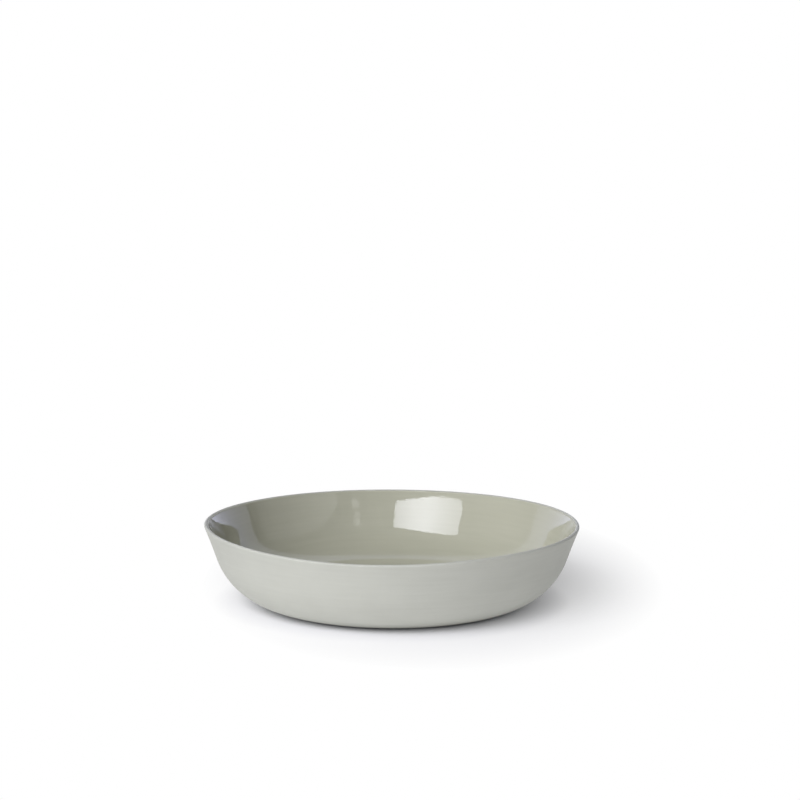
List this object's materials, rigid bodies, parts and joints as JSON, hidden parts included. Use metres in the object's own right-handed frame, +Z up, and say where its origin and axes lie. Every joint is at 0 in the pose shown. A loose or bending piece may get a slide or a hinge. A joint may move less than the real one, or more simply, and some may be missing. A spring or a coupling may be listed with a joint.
{
  "type": "cereal bowl",
  "caption": "Low, wide porcelain cereal bowl with a flared wall and rounded lip, bare outside and gloss glazed inside, standing on a flat ring.",
  "frame": {"origin": "middle of the plane that the bowl stands on", "axes": "+Z up along the bowl's axis of turning, X and Y across the rim"},
  "size_m": [0.19, 0.19, 0.04],
  "materials": {
    "bare_porcelain": "unglazed, matte",
    "clear_glaze": "gloss glaze"
  },
  "bodies": {
    "root": {"porcelain_body": "bare_porcelain", "inner_glaze": "clear_glaze"}
  },
  "joints": []
}
